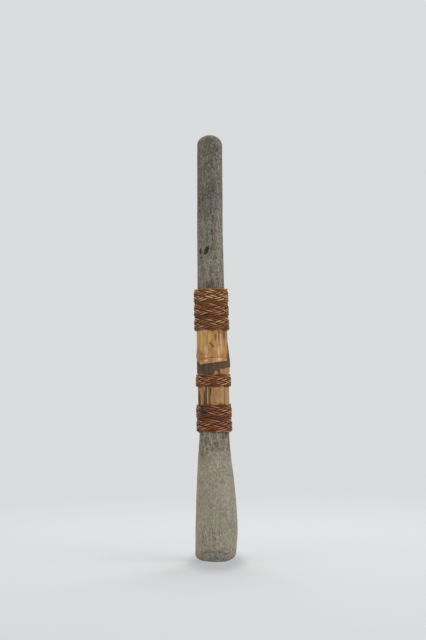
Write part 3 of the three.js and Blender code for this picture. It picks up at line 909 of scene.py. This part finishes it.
def makePlate(name, nodeName, shape):
    # a slice of culm: angles fan between its edges, the joint is a groove between two low ridges, and the
    # split is a missing column of cells that narrows downwards
    split, seed, sizes = shape["split"], shape["seed"], culm["sizes"]
    columns, rows = culm["columns"], culm["rows"]
    share = np.linspace(0, 1, columns)[None, :]
    climb = np.linspace(0, 1, rows)[:, None] ** culm["crowding"]
    foot = shape["ends"][0] + (shape["ends"][1] - shape["ends"][0]) * share
    foot = foot + culm["ragged"] * layers(gridOf(share * culm["width"], 0, seed), sizes["ragged"], seed)
    height = foot + (grip["plateTop"] - foot) * climb
    upright = gridOf(height, 0, seed)
    sides = []
    for side in (0, 1):
        at, low, start, end = (shape[key][side] for key in ("edges", "footEdges", "taperFrom", "ends"))
        tapered = at + (low - at) * np.clip((start - height) / (start - end), 0, 1)
        sides.append(tapered + culm["waver"] * layers(upright, sizes["waver"], seed + 1 + side))
    left, right = sides

    radius = skinAt(height)[0] + culm["offStone"]
    middle = split["degrees"] + split["wander"] * grain(upright, sizes["wander"], seed + 3)
    gape = split["width"] * ease(height, split["bottom"], split["full"])
    gape = gape * (1 + culm["splitWaver"] * grain(upright, sizes["gape"], seed + 7))
    lip = np.degrees((gape / 2 + culm["splitHair"]) / radius)
    # as many columns on each side of the split as its place between the edges asks for
    first, last = shape["edges"]
    cutAt = round((columns - 2) * (split["degrees"] - first) / (last - first))
    column = np.arange(columns)[None, :]
    before = left + (middle - lip - left) * column / cutAt
    behind = middle + lip + (right - middle - lip) * (column - cutAt - 1) / (columns - cutAt - 2)
    degrees = np.where(column <= cutAt, before, behind)

    where = gridOf(radius * np.radians(degrees), height * culm["lengthwise"], seed)
    fray = layers(where * markRun, sizes["fray"], seed + 4, count=2)
    fibres = culm["fibre"] * layers(where, sizes["fibre"], seed + 5)
    flats = culm["flats"] * grain(where, sizes["flats"], seed + 6) * ease(height, *culm["flatsFade"])
    away = np.abs(height - culm["joint"] + culm["jointFray"] * fray) / culm["spread"]
    ridge = np.where(away > culm["ridgeReach"], 0, -np.cos(away * math.pi) * culm["swell"])
    cut, lips, rim = culm["scratch"], culm["lips"], culm["rim"]
    start, end, half, depth = shape["scratch"]
    down, aside, length = alongLine(height, degrees, radius, start, end)
    scratch = ease(down, *cut["starts"]) * ease(length - down, *cut["starts"])
    scratch = scratch * ease(np.abs(aside), half, cut["floor"])
    lipped = bell(radius * np.radians(degrees - middle), 0, lips["wide"]) * (gape > 0)
    toRim = np.minimum(share, 1 - share) * culm["width"]

    seat = wrapSeat(height, 0) + grip["wrapThickness"] + grip["fit"]
    top = seat + grip["plateThickness"] + ridge + fibres + flats + lips["rise"] * lipped
    top = top - depth * scratch - rim["thin"] * ease(toRim, rim["wide"], 0)
    outer = outside(height, degrees, np.maximum(top, seat + culm["leastThick"]))
    inner = outside(height, degrees, seat)
    keep = np.ones((rows - 1, columns - 1), bool)
    keep[height[:-1, cutAt] > split["bottom"], cutAt] = False

    fields = markFields(shape, bambooLook["marks"], height, degrees, radius, fray)
    worn = rim["stain"] * ease(toRim, *rim["stained"])
    worn = np.maximum(worn, culm["end"]["stain"] * ease(height - foot, *culm["end"]["stained"]))
    fields["stain"] = np.maximum.reduce([fields["stain"], cut["stain"] * scratch, worn])
    # a painted highlight along the split's lips
    fields["pale"] = np.maximum(fields["pale"], lips["pale"] * lipped)
    fields["amber"] = np.maximum(fields["amber"], scratch)
    putSheet(name, outer, inner, nodeName, bambooSkin, fields, culm["sharp"], keep)


makePlate("bambooPlateFront", "bamboo_plate_front", frontPlate)
makePlate("bambooPlateBack", "bamboo_plate_back", backPlate)

# Split strips below the plates
stripShape = {
    "rows": 110,
    "columnWidth": 0.35,
    "leastColumns": 8,
    "meanRadius": 16.0,
    "offStone": 1.2,
    "ragged": 0.5,
    "waver": 0.6,  # of the long edges, in degrees
    "fibre": 0.06,
    "fibreLevel": 0.4,
    "lengthwise": 0.06,
    "dome": 0.3,
    "domeWide": 1.0,  # or a third of the strip, if that is less
    "rimStain": 0.5,
    "rimStained": [0.7, 0.1],
    "sharp": 45,
    "seeds": [100, 10],
    # size of the noise behind each
    "sizes": {"ragged": 1.5, "waver": 9, "fray": 2.0, "fibre": 1.1, "streaks": 2.2},
    # height, angle, tall, wide and strength of each mark
    # stains; those at 197 to 200 mm, along the wrap's lower edge, are painted shade
    "stain": [
        [177.5, -41, 2, 1.2, 0.6], [176, -8, 6, 0.5, 0.4], [170, 0, 6, 0.6, 0.35],
        [178.5, 17, 1.6, 1.1, 0.5], [172, 18.5, 6, 2.6, 0.33], [199, 60, 4, 4.5, 0.28],
        [174, 17, 3, 0.6, 0.3], [166, 42, 4, 0.5, 0.7], [176.5, 60, 2.5, 0.8, 0.25],
        [199.5, 60, 2, 1.2, 0.35], [199, -10, 12, 3.6, 1], [199, 21.3, 6, 0.9, 1],
        [197.5, 44, 2.5, 0.8, 0.5], [168, -46, 4, 1, 0.4], [167, -12, 5, 1.2, 0.45],
        [172, -17.2, 16, 1.1, 0.75], [178, 16, 2.5, 1, 0.4], [176.5, 10, 1.2, 2.4, 0.3],
        [181.9, -11.5, 0.9, 1.8, 0.5], [176, 42.5, 8, 0.5, 0.5], [174.6, 11, 2.6, 2.4, 0.42],
        [171.9, 38.5, 6.5, 0.7, 0.36], [171, 2, 4, 3, 0.25], [165, 4.5, 1.8, 2.4, 0.34],
        [180, 22.5, 0.9, 1, 0.5], [174.4, 51, 2.6, 0.7, 0.3], [168.2, 50, 2.6, 0.7, 0.3],
        [199.4, 41, 2.4, 2.2, 0.5],
    ],
    "pale": [
        [197, 11.5, 1.6, 2.6, 0.55], [168.3, 25.5, 4, 2.2, 0.3], [180.2, 9.5, 1.3, 4.2, 0.45],
        [172.5, 20, 6, 2.2, 0.12], [166.5, 14, 2, 2, 0.3], [182.5, 2, 2, 5, 0.45],
        [168, -23, 24, 0.6, 0.8], [179, 30, 2, 2, 0.2], [172, 74, 12, 1.4, 0.35],
    ],
    "amber": [
        [179.5, -52, 3.6, 5, 0.8], [179.5, -4, 2.6, 4, 0.45], [172, 0, 9, 2.4, 0.4],
        [199.5, 62, 3, 6, 0.4], [166, 8, 2.4, 3, 0.4], [176, 56, 5, 1.6, 0.3], [173, 33, 10, 3, 0.25],
    ],
    "leans": ("stain", "pale", "gold", "grey"),
}
# each edge as heights and angles, straight between them, then the upper end and the shares of the marks that
# it leans to
strips = {
    "A": [[[173, -58], [178, -69]], [[174, -40], [179.5, -30]], 203, 0.12, 0, 0.2, 0.4],
    "B": [[[0, -26]], [[0, -14.5]], 198, 0.31, 0, 0.1, 0.28],
    "C": [[[170, -14], [177, -9.5], [179.3, -9], [181, -14]],
          [[183, 44.2], [190, 25]], 203, 0.17, 0.02, 0.2, 0.18],
    "D": [[[183, 44.8], [190, 25.6]], [[0, 98]], 203.6, 0.12, 0.06, 0.15, 0.22],
    "E": [[[0, 104]], [[0, 150]], 202, 0.1, 0.1, 0.2, 0.2],
    "F": [[[0, 156]], [[0, 206]], 203, 0.1, 0.15, 0.1, 0.15],
    "G": [[[0, 212]], [[0, 289]], 202.4, 0.15, 0.05, 0.15, 0.3],
}


def stripThickness(height):
    # full above, and tapering in a straight line to the lower end
    share = np.clip((grip["stripTaperFrom"] - height) / (grip["stripTaperFrom"] - grip["stripBottom"]), 0, 1)
    return grip["stripThickness"] + (grip["stripThinEnd"] - grip["stripThickness"]) * share


def makeStrip(letter, leftEdge, rightEdge, upper, *lean):
    # a band of bamboo between two wavering edges, domed a little across and thinner at its lower end
    shape, sizes = stripShape, stripShape["sizes"]
    seed = shape["seeds"][0] + shape["seeds"][1] * ord(letter)
    width = shape["meanRadius"] * math.radians(rightEdge[0][1] - leftEdge[0][1])
    rows, columns = shape["rows"], max(shape["leastColumns"], round(width / shape["columnWidth"]))
    share = np.linspace(0, 1, columns)[None, :]
    climb = np.linspace(0, 1, rows)[:, None]
    top = upper - shape["ragged"] * (1 + layers(gridOf(share * width, 0, seed), sizes["ragged"], seed))
    height = grip["stripBottom"] + (top - grip["stripBottom"]) * climb
    upright = gridOf(height, 0, seed)
    left, right = (np.interp(height, *np.array(edge, float).T) for edge in (leftEdge, rightEdge))
    left = left + shape["waver"] * (1 + layers(upright, sizes["waver"], seed + 1))
    right = right - shape["waver"] * (1 + layers(upright, sizes["waver"], seed + 2))
    degrees = left + (right - left) * share
    radius = skinAt(height)[0] + shape["offStone"]
    where = gridOf(radius * np.radians(degrees), height * shape["lengthwise"], seed)
    fray = layers(where * markRun, sizes["fray"], seed + 3, count=2)
    fibres = shape["fibre"] * (layers(where, sizes["fibre"], seed + 4) - shape["fibreLevel"])
    toRim = np.minimum(share, 1 - share) * width
    dome = shape["dome"] * ease(toRim, min(shape["domeWide"], width / 3), 0)
    seat = grip["fit"] + grip["stripBend"] * tornAt(degrees) * ease(height, *grip["stripBendFrom"])
    outer = outside(height, degrees, seat + stripThickness(height) + fibres - dome)
    inner = outside(height, degrees, seat)
    streaks = 1 + layers(where, sizes["streaks"], seed + 5)
    fields = {kind: np.clip(amount * streaks, 0, 1) for kind, amount in zip(shape["leans"], lean)}
    fields["stain"] = np.maximum(fields["stain"], shape["rimStain"] * ease(toRim, *shape["rimStained"]))
    for kind, field in markFields(shape, ("stain", "pale", "amber"), height, degrees, radius, fray).items():
        fields[kind] = np.maximum(fields.get(kind, 0), field)
    node = "bamboo_strip_" + letter.lower()
    putSheet("bambooStrip" + letter, outer, inner, node, bambooSkin, fields, shape["sharp"])


for letter, shape in strips.items():
    makeStrip(letter, *shape)

# Plaited rattan bands
plait = {
    "leads": 5,
    "bights": 6,
    "strands": 2,  # side by side in each lead
    "width": 2.12,
    "thickness": 1.14,
    "gap": 0.04,
    "seat": 0.06,
    "platesFrom": 230.0,  # bands above this height lie on the plates, those below on the strips
    "flow": 0.3,  # 0 runs straight from rim to rim, 1 in the curve of a cosine
    "stepsPerCrossing": 16,
    "sides": 12,
    "soften": 1.6,  # millimetres over which a turn at the rim is rounded
    "tuck": 0.15,  # how far the turns lie towards the grip, from 0 at half height to 1
    "shy": 0.9,  # crossings from the rim over which a pair's strands come to cross others one by one
    "apart": [40, 70],  # keeps the noises of strands and of bands apart
    # the strand's section: squareness across and outwards, and how much flatter its underside is
    "squareAcross": 0.85, "squareOut": 0.9, "flatUnder": 0.8,
    # unevenness along a strand: amount, the length that it changes over, and its seed
    "lift": [0.1, 9, 7], "slide": [0.3, 13, 3], "broaden": [0.09, 11, 5], "roll": [0.16, 15, 9],
    # a light lens on the crown of some crossings: its half width, and what its crossings and its chance span
    "lens": {"wide": [0.1, 0.55], "over": [0.45, 1.0], "chance": [-0.5, 0.5], "share": 1.25},
    # painted shade, deeper where a strand passes under another and along its edges
    "shade": {"sunk": 1.3, "edge": 0.7, "edgeSpan": [0.7, 1.0], "lostWherePale": 0.7},
    # how the hue wanders along a strand: amount, length and seed, and what a pale rim adds to hue and sheen
    "blotch": [0.4, 16, 15], "drift": [0.25, 45, 19], "paleHue": 0.5, "paleShine": 0.25,
    "paleEnds": [4, 6], "paleSoft": 1.2,
    "wineLength": 24,
    "wineSpan": [-0.25, 0.45],
    # height, angle, tall, wide and strength of each mark
    "stain": [[155.2, -37.5, 6.2, 5.2, 1], [160, 70, 3, 4, 0.5], [143, 20, 3, 4, 0.4]],
    "wine": [
        [276.5, -60, 4.5, 5, 0.8], [288, 88, 6, 3, 0.5], [158, -19, 3.2, 3.6, 0.9],
        [148.6, 20, 3, 4.5, 0.8], [161, -68, 3, 4, 0.7], [155.5, 14, 1.6, 4, 0.6], [151, 165, 4, 6, 0.8],
        [262, 150, 5, 6, 0.7],
    ],
    # height, 1 where the strands above it are pale and -1 below, angles that this runs between, strength
    "paleRims": [[136.6, -1, 4, 72, 1], [282.6, 1, -185, 185, 0.55]],
}
bands = {
    # lowest point, height over all, hue from red brown to straw, depth of the painted shade, sheen, wine red
    "upperBand1": ["upper_band_1", 269.3, 16.1, 0.54, 0.45, 1.0, 0.1],
    "upperBand2": ["upper_band_2", 254.65, 16.1, 0.30, 0.46, 0.8, 0.6],
    "upperBand3": ["upper_band_3", 240.0, 16.1, 0.34, 0.46, 0.65, 0.4],
    "middleBand": ["middle_band", 181.0, 14.4, 0.24, 0.42, 0.75, 0.2],
    "lowerBand1": ["lower_band_1", 147.9, 15.9, 0.22, 0.45, 0.65, 0.7],
    "lowerBand2": ["lower_band_2", 133.6, 15.9, 0.22, 0.42, 0.5, 0.4],
}


def bandSeat(height):
    plates = grip["fit"] * 2 + grip["wrapThickness"] + grip["plateThickness"]
    onStrips = grip["fit"] + stripThickness(height)
    return np.where(height > plait["platesFrom"], plates, onStrips) + plait["seat"]


def wave(place):
    # over at odd crossings, under at even ones, tucked in at the rims, with flat crowns
    leads, tuck = plait["leads"], plait["tuck"]
    inner = -np.cos(math.pi * place)
    start = (1 - tuck) / 2 - (1 + tuck) / 2 * np.cos(math.pi * place)
    end = -(1 + tuck) / 2 + (1 - tuck) / 2 * np.cos(math.pi * (leads - place))
    level = np.where(place < 1, start, np.where(place > leads - 1, end, inner))
    return np.sin(math.pi / 2 * level)


def squared(x, power):
    # a sine or cosine drawn towards a box as the power falls
    return np.sign(x) * np.abs(x) ** power


def makeBand(name, order, nodeName, low, tall, hue, darkening, sheen, wine):
    # A closed plait: a strand climbs from rim to rim and back while it goes round, passing over and under the
    # strands that it meets; each lead is a pair of strands. Flat round section, carried along that path.
    leads, bights, width, thickness = (plait[key] for key in ("leads", "bights", "width", "thickness"))
    runs = 2 * bights
    steps = runs * leads * plait["stepsPerCrossing"]
    pair = plait["strands"] * width + plait["gap"]
    sweep = math.pi * leads / bights
    waist = np.array(low + tall / 2)
    radius = float(skinAt(waist)[0] + bandSeat(waist) + thickness)
    rise = tall - pair / math.cos(math.atan((tall - pair) / (radius * sweep)))
    slope = math.atan(rise / (radius * sweep))
    spacing = radius * sweep / math.cos(slope) / leads
    start = math.pi - sweep * 2 / leads

    place = np.arange(steps) / steps * runs
    run = np.floor(place)
    q = place - run
    rising = run % 2 == 0
    climbed = (1 - plait["flow"]) * q + plait["flow"] * (1 - np.cos(math.pi * q)) / 2
    level = np.where(rising, climbed, 1 - climbed) * rise
    # round the turns by averaging along the closed path
    reach = round(plait["soften"] / spacing * plait["stepsPerCrossing"])
    kernel = np.hanning(2 * reach + 3)[1:-1]
    padded = np.concatenate([level[-reach:], level, level[:reach]])
    level = np.convolve(padded, kernel / kernel.sum(), "valid")
    centre = low + pair / math.cos(slope) / 2 + level

    turn = start + sweep * place
    stepX = np.full(steps, radius * sweep * runs / steps)
    stepZ = (np.roll(centre, -1) - np.roll(centre, 1)) / 2
    length = np.hypot(stepX, stepZ)
    acrossX, acrossZ = -stepZ / length, stepX / length
    travelled = np.cumsum(length)

    around = np.linspace(0, 2 * math.pi, plait["sides"], endpoint=False)
    sectionAcross = squared(np.cos(around), plait["squareAcross"])
    sectionOut = squared(np.sin(around), plait["squareOut"])
    sectionOut = np.where(sectionOut < 0, plait["flatUnder"], 1) * sectionOut
    crown = np.abs(sectionAcross)[None, :]
    lens, shade = plait["lens"], plait["shade"]
    uneven = [plait[key] for key in ("slide", "broaden", "roll")]
    strandApart, bandApart = plait["apart"]
    pieces, faces = [], []
    for strand in range(plait["strands"]):
        offset = (strand - (plait["strands"] - 1) / 2) * (width + plait["gap"])
        track = gridOf(travelled, strandApart * strand, bandApart * order)
        lift = plait["lift"][0] * grain(track, *plait["lift"][1:])
        slide, broad, roll = (amount * layers(track, *more) for amount, *more in uneven)
        shy = ease(q * leads, 0, plait["shy"]) * ease(leads - q * leads, 0, plait["shy"])
        shift = np.where(rising, 1, -1) * offset / math.tan(2 * slope) / spacing * shy
        over = wave(np.clip(q * leads + shift, 0, leads))
        out = thickness / 2 + (thickness + plait["gap"]) / 2 * (1 + over) * (1 + lift)
        across = (width / 2 * (1 + broad))[:, None] * sectionAcross[None, :]
        bulge = thickness / 2 * sectionOut[None, :] + across * roll[:, None]
        side = (offset + slide)[:, None] + across
        height = centre[:, None] + side * acrossZ[:, None]
        degrees = np.degrees(turn[:, None] + side * acrossX[:, None] / radius)
        points = outside(height, degrees, bandSeat(height) + out[:, None] + bulge)

        over = over[:, None]
        blotch, drift = (layers(track, *plait[key][1:])[:, None] for key in ("blotch", "drift"))
        narrow, wider = lens["wide"]
        lit = ease(crown, narrow + wider * np.clip(over, 0, 1), 0.0) * ease(over, *lens["over"])
        lit = lit * ease(grain(track, spacing, seed=17), *lens["chance"])[:, None]
        turned = (degrees + 180) % 360 - 180
        fields = markFields(plait, ("stain", "wine"), height, turned, radius, blotch)
        pale = np.zeros(height.shape)
        for at, way, left, right, strength in plait["paleRims"]:
            starts, ends = plait["paleEnds"]
            inside = ease(turned, left, left + starts) * ease(turned, right, right - ends)
            pale = np.maximum(pale, strength * ease(height, at, at + plait["paleSoft"] * way) * inside)
        # painted shade, deeper where a strand passes under another and along its edges
        shadow = darkening * shade["sunk"] * (1 - over) / 2 + shade["edge"] * ease(crown, *shade["edgeSpan"])
        tone = hue + plait["blotch"][0] * blotch + plait["drift"][0] * drift + plait["paleHue"] * pale
        shine = np.clip(lens["share"] * sheen * lit + plait["paleShine"] * pale, 0, 1)
        reds = ease(layers(track, plait["wineLength"], seed=23), *plait["wineSpan"])[:, None]
        fields["wine"] = np.maximum(wine * reds * (1 - pale), fields["wine"])
        fields["shine"] = shine * (1 - fields["stain"])
        fields["shadow"] = np.clip(shadow, 0, 1) * (1 - shade["lostWherePale"] * pale)
        fields["hue"] = np.clip(tone, 0, 1)
        pieces.append((points, fields))
        # the last ring runs into the first
        ring = ringFaces(steps + 1, plait["sides"]) % (steps * plait["sides"])
        faces.append(ring + strand * steps * plait["sides"])

    points = np.concatenate([points for points, _ in pieces])
    fields = {key: np.concatenate([fields[key] for _, fields in pieces]) for key in pieces[0][1]}
    putPiece(name, points, np.concatenate(faces).tolist(), nodeName, rattanSkin, fields)


for order, (name, shape) in enumerate(bands.items()):
    makeBand(name, order, *shape)

# Floor, light and camera
stage = {
    "floorRadius": 1.6,
    "floorSides": 96,
    "fadeFrom": 0.25,
    "fadeTo": 1.2,
    "floor": (0.665, 0.67, 0.68),
    # round the foot the floor glows in this painted shade instead of taking the lamps' light
    "paintedShadeGlow": (0.475, 0.48, 0.49),  # evens out the shade right under the foot
    "contactFades": [0.038, 0.013],
    "contactDepth": (1, 0.3, 1),  # draws that shade out to the front and the back
    "contactStarts": [0.0105, 0.014],
    "backdrop": (0.705, 0.715, 0.73),
    "ambient": 0.54,
}


def makeFloor():
    # a flat disc whose paint thins out with distance into the backdrop, and which glows with a painted shade
    # round the foot
    turn = np.linspace(0, 2 * math.pi, stage["floorSides"], endpoint=False)
    rim = gridOf(np.cos(turn), np.sin(turn)) * stage["floorRadius"]
    mesh = bpy.data.meshes.new("floor")
    mesh.from_pydata(rim.tolist(), [], [list(range(len(turn)))])
    finish, shade, where, _ = newFinish("pale floor")
    far = shade.distance(where)
    near = shade.distance(shade.stretched(where, stage["contactDepth"]))
    # the patch round the foot glows with a painted shade in place of lit paint
    under = shade.span(near, *stage["contactFades"]) * shade.span(far, *stage["contactStarts"])
    closeFinish(shade, {
        "Base Color": shade.mix(under, stage["floor"], (0, 0, 0)),
        "Emission Color": shade.mix(under, (0, 0, 0), stage["paintedShadeGlow"]),
        "Emission Strength": 1.0,
        "Roughness": 0.95,
        "Specular IOR Level": 0.0,
        "Alpha": shade.span(far, stage["fadeTo"], stage["fadeFrom"]),
    })
    mesh.materials.append(finish)
    floor = bpy.data.objects.new("floor", mesh)
    bpy.context.scene.collection.objects.link(floor)


def makeWorld():
    world = bpy.data.worlds.new("studio")
    world.use_nodes = True
    world.node_tree.nodes.clear()
    shade = Shade(world.node_tree)
    seen = [shade.node("ShaderNodeLightPath", {}, {}, kind)
            for kind in ("Is Camera Ray", "Is Glossy Ray", "Is Transmission Ray")]
    shown = shade.sum("MAXIMUM", seen[0], shade.sum("MAXIMUM", seen[1], seen[2]))
    lit = shade.node("ShaderNodeBackground", {}, {"Color": (1, 1, 1, 1), "Strength": stage["ambient"]})
    paint = shade.node("ShaderNodeBackground", {}, {"Color": (*stage["backdrop"], 1), "Strength": 1.0})
    mixed = shade.node("ShaderNodeMixShader", {}, {0: shown, 1: lit, 2: paint})
    shade.node("ShaderNodeOutputWorld", {}, {"Surface": mixed})
    bpy.context.scene.world = world


# place, aim, size across and power of each lamp
lamps = {
    "lampLeft": [(-1.4, -0.9, 0.9), (0, 0, 0.24), 2.0, 5],
    "lampRight": [(1.4, -0.8, 0.9), (0, 0, 0.24), 2.0, 11.5],
    "lampTop": [(0.0, 0.3, 1.8), (0, 0, 0.1), 0.9, 3],
    "lampBack": [(0.06, 0.75, 1.7), (0, 0, 0.1), 0.8, 13],
}


def makeLamps():
    for name, (place, aim, size, power) in lamps.items():
        lamp = bpy.data.lights.new(name, "AREA")
        lamp.shape = "DISK"
        lamp.size = size
        lamp.energy = power
        holder = bpy.data.objects.new(name, lamp)
        holder.location = place
        holder.rotation_euler = (Vector(place) - Vector(aim)).to_track_quat("Z", "Y").to_euler()
        bpy.context.scene.collection.objects.link(holder)


cameraSet = {
    "eye": (-0.00157, -1.45, 0.175),
    "pitch": 3.045,
    "yaw": -0.046,
    "roll": -0.789,
    "lens": 77.33,
    "sensor": 36,
}


def makeCamera():
    camera = bpy.data.cameras.new("camera")
    camera.lens = cameraSet["lens"]
    camera.sensor_width = cameraSet["sensor"]
    holder = bpy.data.objects.new("camera", camera)
    holder.matrix_world = Matrix.Translation(cameraSet["eye"])
    for key, level, axis in (("yaw", 0, "Z"), ("pitch", 90, "X"), ("roll", 0, "Z")):
        holder.matrix_world @= Matrix.Rotation(math.radians(cameraSet[key] + level), 4, axis)
    bpy.context.scene.collection.objects.link(holder)
    bpy.context.scene.camera = holder


makeFloor()
makeWorld()
makeLamps()
makeCamera()
bpy.context.scene.view_settings.view_transform = "Standard"
print("stage, lamps and camera placed")
